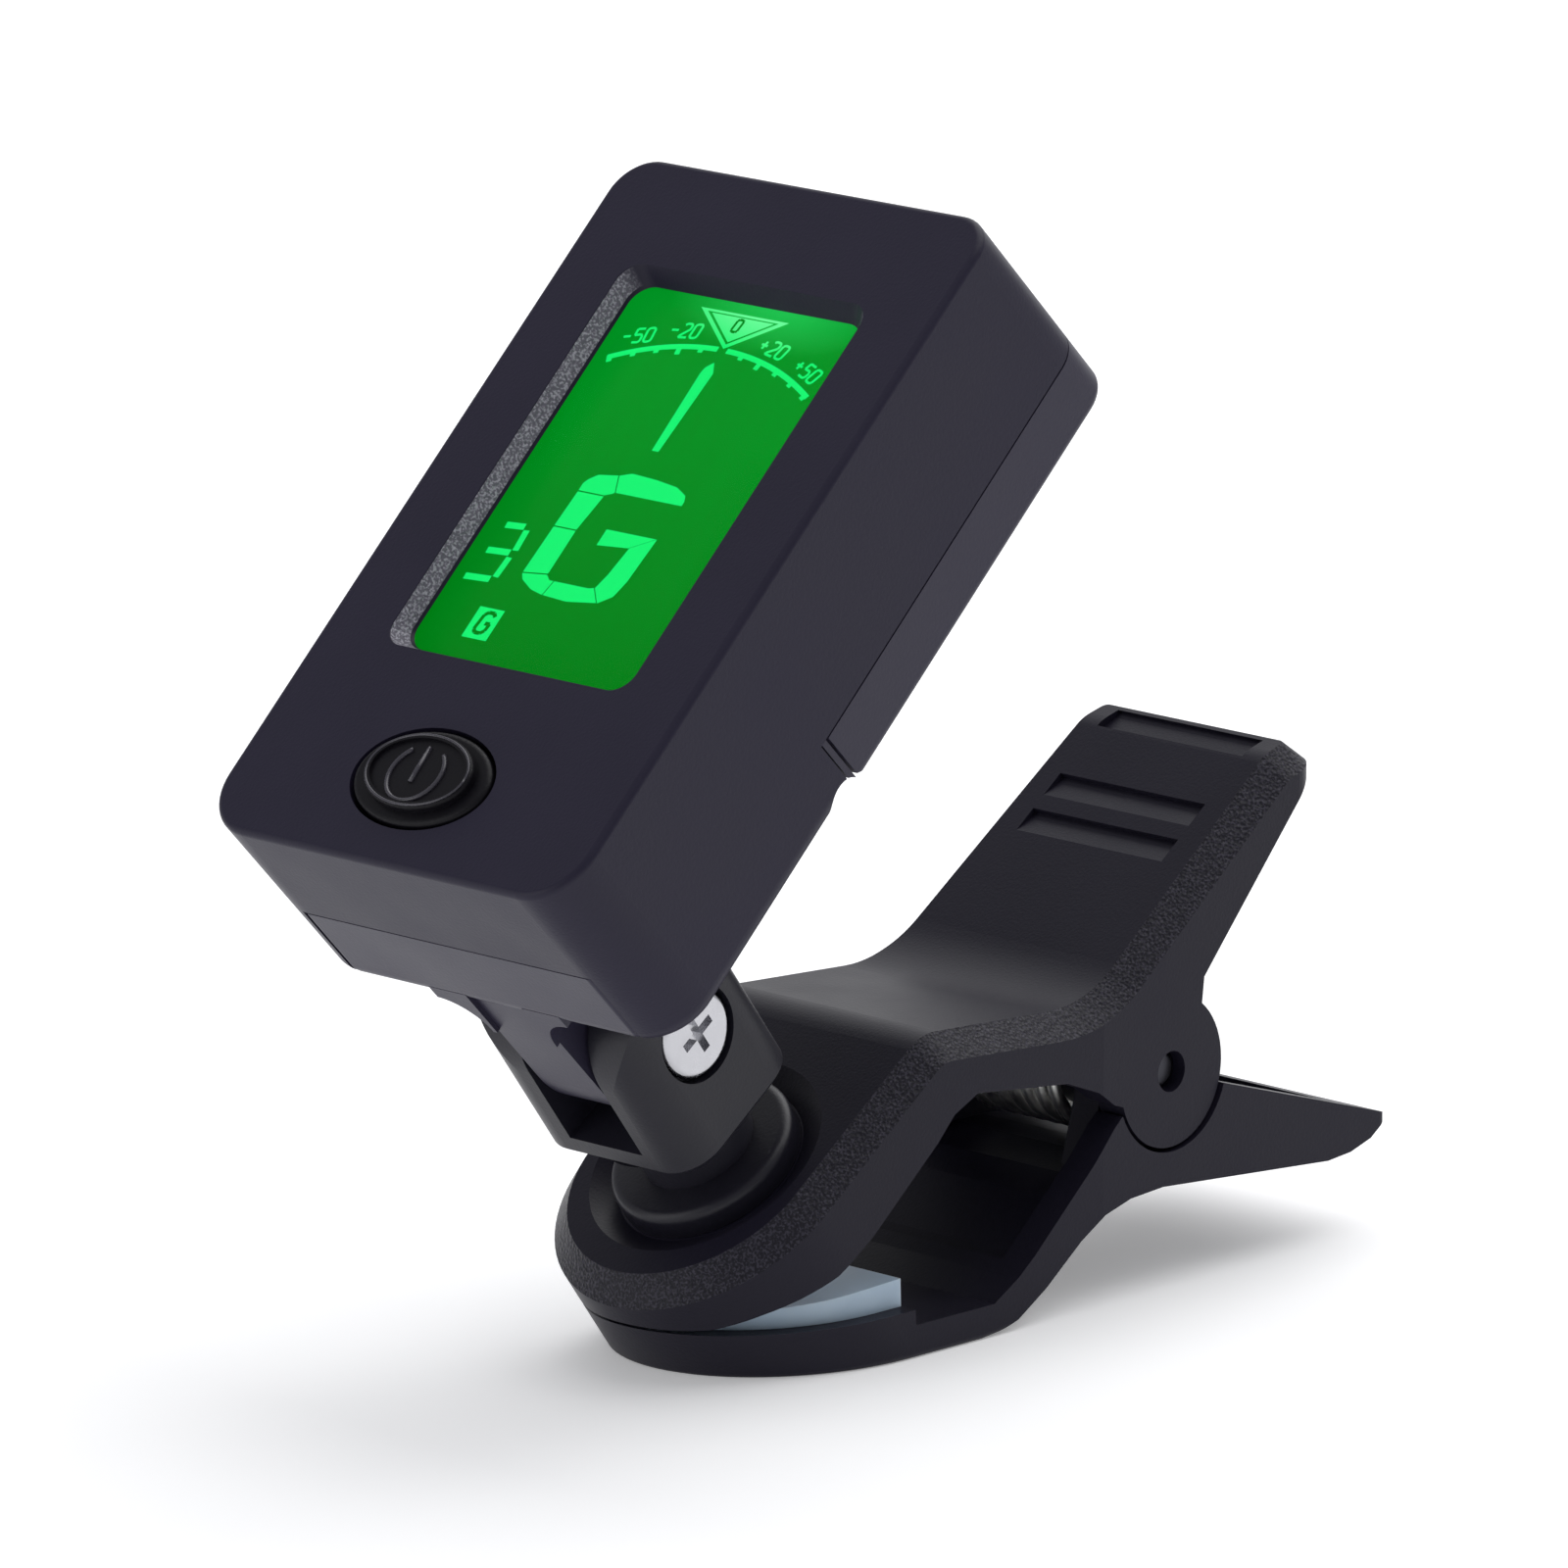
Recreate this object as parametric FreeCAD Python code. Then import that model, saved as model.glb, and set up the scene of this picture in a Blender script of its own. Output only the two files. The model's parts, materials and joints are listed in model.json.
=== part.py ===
import FreeCAD, Part
import math
import os
from FreeCAD import Vector, Rotation, Placement

# Clip-on tuner. Millimetres, +Z up, +X from the jaw tip towards the squeeze handles, +Y across the clip.
# The origin is the middle of the flat underside of the lower jaw, on which the closed clip stands.

# ---------------------------------------------------------------- driving dimensions
# clip
PIN = Vector(21.0, 0.0, 12.75)
PIN_R = 1.15
PIN_HOLE_R = 1.2
CLIP_HALF = 9.4
UPPER_TIP_HALF = 8.4
LOWER_TIP_HALF = 8.6
WALL = 2.0
LOBE_R = 4.45
LOBE_CLEAR_R = 4.7
EAR_IN = 5.1
EAR_OUT = 7.1
EAR_R = 3.7
RIM_CHAMFER = 1.45
ARM_ANGLE = 36.5
TIP_AHEAD = 1.0
# stem and fork
PIVOT = Vector(-14.75, 0.0, 20.9)
PIVOT_HEIGHT = 11.7
FORK_HALF_X = 5.15
FORK_HALF_Y = 6.3
FORK_CORNER = 2.5
FORK_FOOT_Z = 4.2
SLOT_HALF = 2.85
SLOT_FLOOR_Z = PIVOT_HEIGHT - 5.45
NECK_R = 3.4
FLANGE_R = 5.6
SPIGOT_R = 2.0
RUNNING_GAP = 0.08
PIVOT_SCREW_R = 1.25
# head
HEAD_TILT = 43.9
HEAD_L = 47.6
HEAD_HALF = 14.3
HEAD_DEPTH = 14.05
FOOT_CORNER = 3.5
CROWN_CORNER = 2.6
FACE_FILLET = 0.4
BACK_FILLET = 0.5
FOOT_FILLET = 1.2
SIDE_SEAM_Z = -10.15
BOTTOM_SEAM_Z = -7.7
PLUG_HALF = 11.3
DOOR_WALL = 1.0
NOTCH_X = 18.45
RIDGE_X = (18.6, 19.0)
DOOR_X = 19.15
SEAM = 0.1
SHELL_WALL = 1.7
LUG_PIVOT = Vector(5.3, 0.0, -21.55)
LUG_R = 5.0
LUG_HALF = 2.5
LUG_FLARE_R = 2.6
# display and button
WINDOW = (13.6, 40.65)
WINDOW_HALF = 9.5
WINDOW_DRAFT = 0.65
WINDOW_DEPTH = 1.2
BUTTON_X = 5.75
BUTTON_Y = 0.45
BUTTON_HOLE = (5.2, 3.4)
BUTTON_SEMI = (4.95, 3.15)
# battery
CELL_X = 32.9
CELL_R = 10.0
CELL_Z = (-13.0, -9.8)


# ---------------------------------------------------------------- frames
def tilt(angle):
    return Rotation(Vector(0, -1, 0), angle)


def head_origin():
    return PIVOT - tilt(HEAD_TILT).multVec(LUG_PIVOT)


def stem_origin():
    return PIVOT - tilt(ARM_ANGLE).multVec(Vector(0, 0, PIVOT_HEIGHT))


HEAD = Placement(head_origin(), tilt(HEAD_TILT))
STEM = Placement(stem_origin(), tilt(ARM_ANGLE))


def placed(shape, placement):
    moved = shape.copy()
    moved.transformShape(placement.toMatrix())
    return moved


def write(node, shape):
    shape = shape.removeSplitter()
    solids = shape.Solids
    out = solids[0] if len(solids) == 1 else Part.makeCompound(solids)
    out.exportStep(os.path.join("parts", node + ".step"))
    print(node, "solids", len(solids), "valid", out.isValid(), "volume %.2f" % out.Volume)


# ---------------------------------------------------------------- shape helpers
def box(x, y, z):
    return Part.makeBox(x[1] - x[0], y[1] - y[0], z[1] - z[0], Vector(x[0], y[0], z[0]))


def rounded_box(x, y, z, r):
    body = box(x, y, z)
    upright = [e for e in body.Edges if abs(e.tangentAt(e.FirstParameter).z) > 0.99]
    return body.makeFillet(r, upright)


def cyl_z(x, y, z, r):
    return Part.makeCylinder(r, z[1] - z[0], Vector(x, y, z[0]))


def cyl_y(x, z, y, r):
    return Part.makeCylinder(r, y[1] - y[0], Vector(x, y[0], z), Vector(0, 1, 0))


def profile_y(points, half):
    wire = Part.makePolygon([Vector(x, -half, z) for x, z in points + points[:1]])
    return Part.Face(wire).extrude(Vector(0, 2 * half, 0))


def profile_z(points, z):
    wire = Part.makePolygon([Vector(x, y, z[0]) for x, y in points + points[:1]])
    return Part.Face(wire).extrude(Vector(0, 0, z[1] - z[0]))


def ellipse_z(x, y, semi_y, semi_x, z):
    curve = Part.Ellipse(Vector(x, y + semi_y, z[0]), Vector(x - semi_x, y, z[0]), Vector(x, y, z[0]))
    return Part.Face(Part.Wire(curve.toShape())).extrude(Vector(0, 0, z[1] - z[0]))


def frustum(x, y, z, inset):
    def outline(shrink, height):
        corners = [(x[0] + shrink, y[0] + shrink), (x[1] - shrink, y[0] + shrink),
                   (x[1] - shrink, y[1] - shrink), (x[0] + shrink, y[1] - shrink)]
        return rounded_outline(corners, height, 1.4)
    return Part.makeLoft([outline(inset, z[0]), outline(0.0, z[1])], True, True)


def rounded_outline(corners, z, r):
    (x0, y0), (x1, _), (_, y1), _ = corners
    k = r * math.sqrt(0.5)
    arcs = [((x1 - r, y0), (x1 - r + k, y0 + r - k), (x1, y0 + r)),
            ((x1, y1 - r), (x1 - r + k, y1 - r + k), (x1 - r, y1)),
            ((x0 + r, y1), (x0 + r - k, y1 - r + k), (x0, y1 - r)),
            ((x0, y0 + r), (x0 + r - k, y0 + r - k), (x0 + r, y0))]
    edges = []
    last = Vector(x0 + r, y0, z)
    for a, m, b in arcs:
        start, middle, end = [Vector(p[0], p[1], z) for p in (a, m, b)]
        edges.append(Part.makeLine(last, start))
        edges.append(Part.Arc(start, middle, end).toShape())
        last = end
    return Part.Wire(edges)


def edges_where(shape, test):
    found = []
    for e in shape.Edges:
        span = e.LastParameter - e.FirstParameter
        points = [e.valueAt(e.FirstParameter + t * span) for t in (0.0, 0.5, 1.0)]
        if all(test(p) for p in points):
            found.append(e)
    return found


# ---------------------------------------------------------------- head, in its own frame
# local x runs up the face, y across it and z out of it; the face is z = 0
SCREW_POINTS = [(43.7, -9.6), (43.7, 9.6), (8.8, -8.8), (8.8, 8.8)]


def head_block(z):
    """Outside of the head, with wider corners at its foot than at its top."""
    body = box((0, HEAD_L), (-HEAD_HALF, HEAD_HALF), z)
    foot = edges_where(body, lambda p: p.x < 1e-6 and abs(abs(p.y) - HEAD_HALF) < 1e-6)
    body = body.makeFillet(FOOT_CORNER, foot)
    crown = edges_where(body, lambda p: p.x > HEAD_L - 1e-6 and abs(abs(p.y) - HEAD_HALF) < 1e-6)
    return body.makeFillet(CROWN_CORNER, crown)


def finger_groove():
    """Shallow groove across the back, just below the door, that frees the door's edge."""
    return cyl_y(17.7, -HEAD_DEPTH - 0.35, (-20, 20), 1.45)


def front_shell():
    body = head_block((-HEAD_DEPTH, 0))
    body = body.makeFillet(FACE_FILLET, edges_where(body, lambda p: abs(p.z) < 1e-6))
    body = body.makeFillet(FOOT_FILLET, edges_where(body, lambda p: abs(p.z + HEAD_DEPTH) < 1e-6))
    body = body.cut(finger_groove())
    body = body.cut(box((NOTCH_X, HEAD_L + 1), (-20, 20), (-20, SIDE_SEAM_Z)))
    body = body.cut(box((-1, NOTCH_X + 1), (-PLUG_HALF, PLUG_HALF), (-20, BOTTOM_SEAM_Z)))
    body = body.cut(rounded_box((1.8, HEAD_L - SHELL_WALL), (-12.3, 12.3), (-11.0, -2.2), 2.3))
    body = body.cut(frustum(WINDOW, (-WINDOW_HALF, WINDOW_HALF), (-WINDOW_DEPTH, 0.0), WINDOW_DRAFT))
    ledge = (WINDOW[0] - 1.1, WINDOW[1] + 1.1)
    body = body.cut(rounded_box(ledge, (-10.6, 10.6), (-2.5, -WINDOW_DEPTH), 1.0))
    body = body.cut(ellipse_z(BUTTON_X, BUTTON_Y, BUTTON_HOLE[0], BUTTON_HOLE[1], (-3.0, 1.0)))
    for x, y in SCREW_POINTS:
        boss = cyl_z(x, y, (-8.8 if x > NOTCH_X else BOTTOM_SEAM_Z, -2.0), 1.8)
        body = body.fuse(boss).cut(cyl_z(x, y, (-9.0, -3.4), 0.82))
    return body


def lug():
    arm = box((LUG_PIVOT.x - LUG_R, LUG_PIVOT.x + LUG_R), (-LUG_HALF, LUG_HALF), (LUG_PIVOT.z, -13.0))
    eye = cyl_y(LUG_PIVOT.x, LUG_PIVOT.z, (-LUG_HALF, LUG_HALF), LUG_R)
    return arm.fuse(eye)


def lug_flares():
    """Concave webs that spread the foot of the lug into the back of the shell."""
    r = LUG_FLARE_R
    z = -HEAD_DEPTH
    flares = []
    for s in (-1.0, 1.0):
        corner = [Vector(0, s * (LUG_HALF - 0.3), z + 1.0), Vector(0, s * (LUG_HALF + r), z + 1.0),
                  Vector(0, s * (LUG_HALF + r), z), Vector(0, s * LUG_HALF, z - r),
                  Vector(0, s * (LUG_HALF - 0.3), z - r)]
        edges = [Part.makeLine(corner[0], corner[1]), Part.makeLine(corner[1], corner[2])]
        k = r * (1 - math.sqrt(0.5))
        middle = Vector(0, s * (LUG_HALF + k), z - k)
        edges.append(Part.Arc(corner[2], middle, corner[3]).toShape())
        edges.append(Part.makeLine(corner[3], corner[4]))
        edges.append(Part.makeLine(corner[4], corner[0]))
        flares.append(Part.Face(Part.Wire(edges)).extrude(Vector(LUG_PIVOT.x + LUG_R, 0, 0)))
    return flares


def rear_shell():
    plug_y = (-PLUG_HALF + SEAM, PLUG_HALF - SEAM)
    back = rounded_box((0, NOTCH_X - SEAM), plug_y, (-HEAD_DEPTH, BOTTOM_SEAM_Z - SEAM), 0.3)
    low = edges_where(back, lambda p: abs(p.z + HEAD_DEPTH) < 1e-6 and p.x < 0.5)
    back = back.makeFillet(FOOT_FILLET, low)
    back = back.cut(box((1.8, NOTCH_X - 1.7), (-9.9, 9.9), (-12.6, 0)))
    flare = lug()
    back = back.fuse([flare] + lug_flares())
    tray = rounded_box((2.1, HEAD_L - SHELL_WALL - 0.3), (-12.0, 12.0), (-9.7, -8.9), 2.1)
    tray = tray.cut(box((4.6, 13.0), (-6.2, 6.2), (-9.8, -8.8)))
    pillar_z = (-HEAD_DEPTH + 0.1, BOTTOM_SEAM_Z - SEAM)
    pillars = [cyl_z(x, y, pillar_z, 2.35) for x, y in SCREW_POINTS if x < NOTCH_X]
    ridge = box((NOTCH_X - 1.7, RIDGE_X[0]), plug_y, (-13.2, -8.9))
    ridge = ridge.fuse(box(RIDGE_X, (-HEAD_HALF + 0.1, HEAD_HALF - 0.1), (-14.0, SIDE_SEAM_Z - SEAM)))
    ridge = ridge.fuse(box((RIDGE_X[0], RIDGE_X[1]), (-11.4, 11.4), (SIDE_SEAM_Z - 0.5, -8.9)))
    cup = cyl_z(CELL_X, 0, (-12.2, -9.7), CELL_R + 1.15).cut(cyl_z(CELL_X, 0, (-13, -9), CELL_R + 0.2))
    cup = cup.cut(box((38, 48), (-3.4, 3.4), (-13, -9)))
    cup = cup.cut(box((10, RIDGE_X[0]), (-20, 20), (-13, -9)))
    rails = [box((24, 42), y, (-12.4, -9.7)) for y in ((-12.2, -11.35), (11.35, 12.2))]
    body = back.fuse([tray, ridge, cup] + rails + pillars)
    body = body.cut(finger_groove())
    for y in ((-12.5, -11.7), (11.7, 12.5)):
        body = body.cut(box((20, 43), y, (-11.9, -11.1)))
    body = body.cut(cyl_y(LUG_PIVOT.x, LUG_PIVOT.z, (-3, 3), PIVOT_SCREW_R + RUNNING_GAP))
    for x, y in SCREW_POINTS:
        body = body.cut(cyl_z(x, y, (-10, -7), 0.9))
        body = body.cut(cyl_z(x, y, (-15.0, -9.7), 1.75))
    body = body.cut(box((26.0, 39.0), (-1.6, 1.6), (-10, -8.5)))
    body = body.cut(box((43.6, 44.4), (-2.2, 2.2), (-10, -8.5)))
    return body


def battery_door():
    body = head_block((-HEAD_DEPTH, SIDE_SEAM_Z - SEAM))
    body = body.makeFillet(BACK_FILLET, edges_where(body, lambda p: abs(p.z + HEAD_DEPTH) < 1e-6))
    body = body.cut(box((-1, DOOR_X), (-20, 20), (-20, 0)))
    outside = -HEAD_DEPTH - 0.1
    bevel = [(DOOR_X - 0.1, -HEAD_DEPTH + 0.6), (DOOR_X + 0.8, outside), (DOOR_X - 0.1, outside)]
    body = body.cut(profile_y(bevel, 20))
    body = body.cut(rounded_box((0, HEAD_L - 1.3), (-12.7, 12.7), (-HEAD_DEPTH + DOOR_WALL, 0), 2.0))
    tongues = [box((DOOR_X + 5.5, 41.0), y, (-11.75, -11.25)) for y in ((-13.0, -11.9), (11.9, 13.0))]
    body = body.fuse(tongues)
    # thumb grip: four fine grooves near the lower edge
    for k in range(4):
        body = body.cut(cyl_y(DOOR_X + 3.0 + 1.3 * k, -HEAD_DEPTH - 0.15, (-6.0, 6.0), 0.45))
    return body


def window_lens():
    return rounded_box((WINDOW[0] - 1.0, WINDOW[1] + 1.0), (-10.5, 10.5), (-2.15, -WINDOW_DEPTH - 0.02), 0.9)


def display_glass():
    return box((WINDOW[0] - 0.9, WINDOW[1] + 0.9), (-10.0, 10.0), (-3.8, -2.2))


def backlight_panel():
    panel = box((WINDOW[0] + 1.6, WINDOW[1] + 0.6), (-9.9, 9.9), (-5.1, -3.85))
    return panel.makeFillet(0.4, edges_where(panel, lambda p: abs(p.z + 5.1) < 1e-6))


def backlight_led():
    return box((WINDOW[1] + 0.9, WINDOW[1] + 2.3), (-1.6, 1.6), (-5.4, -4.2))


def zebra_strip():
    return box((WINDOW[0] - 0.6, WINDOW[0] + 0.9), (-9.0, 9.0), (-5.4, -3.85))


def circuit_board():
    board = rounded_box((2.4, 44.6), (-11.7, 11.7), (-6.4, -5.42), 2.0)
    for x, y in SCREW_POINTS:
        board = board.cut(cyl_z(x, y, (-7, -5), 2.1))
    for y in (-1.2, 1.2):
        board = board.cut(cyl_z(11.2, y, (-7, -5), 0.3))
    return board


def controller_chip():
    chip = box((22.0, 29.0), (-3.5, 3.5), (-7.4, -6.42))
    return chip.makeFillet(0.15, chip.Edges)


def crystal():
    can = cyl_y(34.5, -7.25, (-7.0, -1.0), 0.75)
    return can.makeFillet(0.2, can.Edges)


def capacitors():
    spots = [(18.0, 5.5), (18.0, 2.5), (31.5, 4.0), (34.5, 4.0), (15.0, -5.5), (15.0, -8.0)]
    return Part.makeCompound([box((x - 0.8, x + 0.8), (y - 0.5, y + 0.5), (-7.0, -6.42)) for x, y in spots])


def tact_switch():
    half = 2.25
    across = (BUTTON_Y - half, BUTTON_Y + half)
    body = rounded_box((BUTTON_X - half, BUTTON_X + half), across, (-5.4, -4.0), 0.3)
    return body.cut(cyl_z(BUTTON_X, BUTTON_Y, (-5.25, -3), 1.18))


def switch_plunger():
    pin = cyl_z(BUTTON_X, BUTTON_Y, (-4.7, -3.42), 1.1)
    return pin.makeFillet(0.15, [pin.Edges[0]])


def power_button():
    a, b = BUTTON_SEMI
    cap = ellipse_z(BUTTON_X, BUTTON_Y, a, b, (-2.3, 0.15))
    cap = cap.makeFillet(0.3, edges_where(cap, lambda p: abs(p.z - 0.15) < 1e-6))
    crown = ellipse_z(BUTTON_X + 0.1, BUTTON_Y, a - 1.05, b - 0.65, (0.0, 0.75))
    crown = crown.makeFillet(0.25, edges_where(crown, lambda p: abs(p.z - 0.75) < 1e-6))
    dish = ellipse_z(BUTTON_X + 0.1, BUTTON_Y, a - 1.5, b - 1.05, (0.55, 1.0))
    crown = crown.cut(dish)
    flange = ellipse_z(BUTTON_X, BUTTON_Y, a + 0.85, b + 0.45, (-2.8, -2.25))
    post = cyl_z(BUTTON_X, BUTTON_Y, (-3.4, -2.5), 1.3)
    return cap.fuse([crown, flange, post])


def coin_cell():
    can = cyl_z(CELL_X, 0, (CELL_Z[0], CELL_Z[1] - 0.35), CELL_R)
    can = can.makeFillet(0.35, edges_where(can, lambda p: p.z < CELL_Z[0] + 1e-6))
    lid = cyl_z(CELL_X, 0, (CELL_Z[1] - 0.5, CELL_Z[1]), CELL_R - 1.4)
    return can.fuse(lid)


def contact_negative():
    leaf = box((27.0, 38.5), (-1.3, 1.3), (-9.6, -9.35))
    post = box((27.0, 27.3), (-1.3, 1.3), (-9.4, -8.7))
    return leaf.fuse(post)


def contact_positive():
    plate = box((43.05, 43.3), (-3.0, 3.0), (-12.2, -9.9))
    tab = box((43.05, 44.2), (-1.9, 1.9), (-10.15, -9.9))
    post = box((43.9, 44.2), (-1.9, 1.9), (-10.0, -8.6))
    return plate.fuse([tab, post])


def piezo_disc():
    brass = cyl_z(9.3, 0, (-12.55, -12.3), 5.5)
    ceramic = cyl_z(9.3, 0, (-12.3, -12.1), 3.8)
    return brass.fuse(ceramic)


def piezo_leads():
    return Part.makeCompound([cyl_z(11.2, y, (-12.08, -5.9), 0.28) for y in (-1.2, 1.2)])


def case_screws():
    screws = []
    for x, y in SCREW_POINTS:
        head = cyl_z(x, y, (-10.5, -9.72), 1.45)
        head = head.makeFillet(0.3, edges_where(head, lambda p: p.z < -10.49))
        for dx, dy in ((1.0, 0.2), (0.2, 1.0)):
            head = head.cut(box((x - dx, x + dx), (y - dy, y + dy), (-10.6, -10.1)))
        screws.append(head.fuse(cyl_z(x, y, (-9.8, -4.0), 0.8)))
    return Part.makeCompound(screws)


# ---------------------------------------------------------------- stem, in its own frame
# local z runs up the stem from the top face of the jaw arm, local x runs back along the arm
def fork_stem():
    top = PIVOT_HEIGHT + FORK_HALF_X
    across = (-FORK_HALF_Y, FORK_HALF_Y)
    barrel = rounded_box((-FORK_HALF_X, FORK_HALF_X), across, (FORK_FOOT_Z, top), FORK_CORNER)
    crown = box((-FORK_HALF_X, FORK_HALF_X), (-8, 8), (0, PIVOT_HEIGHT)).fuse(
        cyl_y(0, PIVOT_HEIGHT, (-8, 8), FORK_HALF_X))
    barrel = barrel.common(crown).removeSplitter()
    foot = edges_where(barrel, lambda p: abs(p.z - FORK_FOOT_Z) < 1e-6)
    barrel = barrel.makeChamfer(0.9, foot)
    neck = Part.makeCone(NECK_R, NECK_R + 1.4, 1.6, Vector(0, 0, FORK_FOOT_Z - 1.5))
    neck = neck.fuse(cyl_z(0, 0, (0.5, FORK_FOOT_Z + 0.5), NECK_R))
    flange = cyl_z(0, 0, (-0.75, 0.9), FLANGE_R)
    flange = flange.makeFillet(0.6, edges_where(flange, lambda p: abs(p.z - 0.9) < 1e-6))
    spigot = cyl_z(0, 0, (-2.3, 0), SPIGOT_R)
    body = barrel.fuse([neck, flange, spigot])
    body = body.cut(box((-9, 9), (-SLOT_HALF, SLOT_HALF), (SLOT_FLOOR_Z, 30)))
    body = body.cut(cyl_y(0, PIVOT_HEIGHT, (-9, 9), PIVOT_SCREW_R + 0.05))
    body = body.cut(cyl_y(0, PIVOT_HEIGHT, (-9, -5.4), 2.85))
    body = body.cut(hex_y(0, PIVOT_HEIGHT, (4.5, 9.0), 2.56))
    body = body.cut(cyl_z(0, 0, (-3, 3.3), 0.9))
    return body


def hex_y(x, z, y, inner_r):
    points = []
    corner_r = inner_r / math.cos(math.pi / 6)
    for k in range(6):
        a = math.radians(60 * k + 30)
        points.append(Vector(x + corner_r * math.cos(a), y[0], z + corner_r * math.sin(a)))
    return Part.Face(Part.makePolygon(points + points[:1])).extrude(Vector(0, y[1] - y[0], 0))


def pivot_screw():
    head = cyl_y(0, PIVOT_HEIGHT, (-6.3, -5.42), 2.65)
    head = head.makeFillet(0.5, edges_where(head, lambda p: p.y < -6.29))
    head = head.cut(box((-1.25, 1.25), (-7, -5.8), (PIVOT_HEIGHT - 0.27, PIVOT_HEIGHT + 0.27)))
    head = head.cut(box((-0.27, 0.27), (-7, -5.8), (PIVOT_HEIGHT - 1.25, PIVOT_HEIGHT + 1.25)))
    return head.fuse(cyl_y(0, PIVOT_HEIGHT, (-5.5, 6.1), PIVOT_SCREW_R))


def pivot_nut():
    nut = hex_y(0, PIVOT_HEIGHT, (4.52, 6.2), 2.5)
    return nut.cut(cyl_y(0, PIVOT_HEIGHT, (4, 7), PIVOT_SCREW_R + 0.02))


def friction_washers():
    rings = []
    for y in ((-2.82, -2.53), (2.53, 2.82)):
        ring = cyl_y(0, PIVOT_HEIGHT, y, 4.4).cut(cyl_y(0, PIVOT_HEIGHT, (-4, 4), PIVOT_SCREW_R + 0.05))
        rings.append(ring)
    return Part.makeCompound(rings)


def swivel_screw():
    head = cyl_z(0, 0, (-3.75, -2.66), 2.3)
    head = head.makeFillet(0.4, edges_where(head, lambda p: p.z < -3.7))
    return head.fuse(cyl_z(0, 0, (-2.8, 3.0), 0.88))


def swivel_washer():
    return cyl_z(0, 0, (-2.64, -2.36), 3.1).cut(cyl_z(0, 0, (-3, -2), 0.95))


# ---------------------------------------------------------------- clip levers, in the part's frame
DECK_FRONT = (1.40, 18.29)
HANDLE_BEND = (14.96, 17.52)
HANDLE_END = (30.8, 29.37)
HANDLE_TIP = (36.6, 30.95)
BEND_R = 9.0
UPPER_LOW_EDGE = [(36.6, 29.05), (34.3, 28.75), (25.6, 19.6), (23.9, 17.8), (23.7, 16.2), (24.6, 13.9),
                  (21.0, 10.0), (16.0, 11.7), (14.6, 12.7), (12.0, 13.7), (4.6, 14.5), (2.7, 13.6),
                  (1.35, 12.2), (-3.9, 7.75), (-6.6, 5.95), (-8.8, 5.0), (-10.8, 4.15), (-12.6, 3.25),
                  (-14.0, 3.05), (-20.0, 3.05)]
UPPER_CAVITY = [(5.0, 16.1), (15.6, 15.5), (31.2, 27.2), (33.0, 22.0), (31.0, 4.0), (5.0, 4.0)]
LOWER_TOP_EDGE = [(-20.0, 2.85), (-0.45, 2.85), (-0.4, 1.95), (6.0, 1.95), (8.0, 3.1), (9.3, 4.1),
                  (14.2, 8.5), (15.9, 10.3), (16.6, 10.9), (25.2, 11.35), (40.2, 6.7)]
LOWER_BOTTOM_EDGE = [(40.2, 6.55), (38.6, 5.5), (36.8, 5.0), (34.8, 4.85), (20.2, 6.1), (17.4, 5.95),
                     (15.2, 5.4), (13.2, 4.25), (10.3, 2.05), (8.0, 0.65), (6.4, 0.12), (5.2, 0.0),
                     (-20.0, 0.0)]
LOWER_CAVITY = [(8.8, 2.5), (10.1, 3.75), (13.4, 6.3), (15.2, 7.3), (18.0, 7.9), (20.2, 7.9), (34.6, 6.75),
                (36.6, 6.9), (37.0, 20.0), (8.8, 20.0)]
UPPER_PAD_LOW = [(-16.0, 4.0), (-12.0, 4.25), (-8.9, 4.6), (-6.5, 5.7), (-3.9, 7.35), (-2.5, 8.5)]
UPPER_PAD_HALF = 7.3
LOWER_PAD_HALF = 8.3
LIP_HALF = 8.5
GRIP_STEPS = (12.75, 15.6, 21.3)
GRIP_HALF = 5.7
GRIP_DEPTH = 0.34
COIL_R = 4.0
WIRE_R = 0.42
COIL_PITCH = 1.15
UPPER_LEG_ANGLE = 131.8
LOWER_LEG_ANGLE = -96.8
LEG_LENGTH = 10.5
COIL_STEPS = 20
CAVITY_HALF = CLIP_HALF - WALL - 0.05
CAVITY_TIP_HALF = 6.6


def tip_prism(r, low=-30.0, high=30.0):
    """Stadium plan of the jaw: a half circle round the foot of the stem, carried back along the arm."""
    straight = box((-TIP_AHEAD, 90), (-r, r), (low, high))
    plan = cyl_z(-TIP_AHEAD, 0, (low, high), r).fuse(straight)
    return placed(plan.removeSplitter(), STEM)


def tapered_plan(half, tip_half, start_x, tip_x):
    """Plan of constant width up to start_x that narrows from there to its tip; extruded over all heights."""
    near = [(-40, -half), (start_x, -half), (tip_x, -tip_half)]
    far = [(tip_x, tip_half), (start_x, half), (-40, half)]
    return profile_z(near + far, (-10, 50))


def handle_plan(half, tip_half, tip_x, corner):
    body = tapered_plan(half, tip_half, 15, tip_x)
    corners = edges_where(body, lambda p: abs(p.x - tip_x) < 1e-6 and abs(abs(p.y) - tip_half) < 1e-6)
    return body.makeFillet(corner, corners)


def cavity_plan(tip_x):
    return tapered_plan(CAVITY_HALF, CAVITY_TIP_HALF, 26, tip_x)


def upper_top_line():
    tip = STEM.multVec(Vector(-14.0, 0, 0))
    return [(tip.x, tip.z), DECK_FRONT, HANDLE_BEND, HANDLE_END, HANDLE_TIP]


def cross_edges(body, x, z):
    return edges_where(body, lambda p: math.hypot(p.x - x, p.z - z) < 1e-4)


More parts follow.
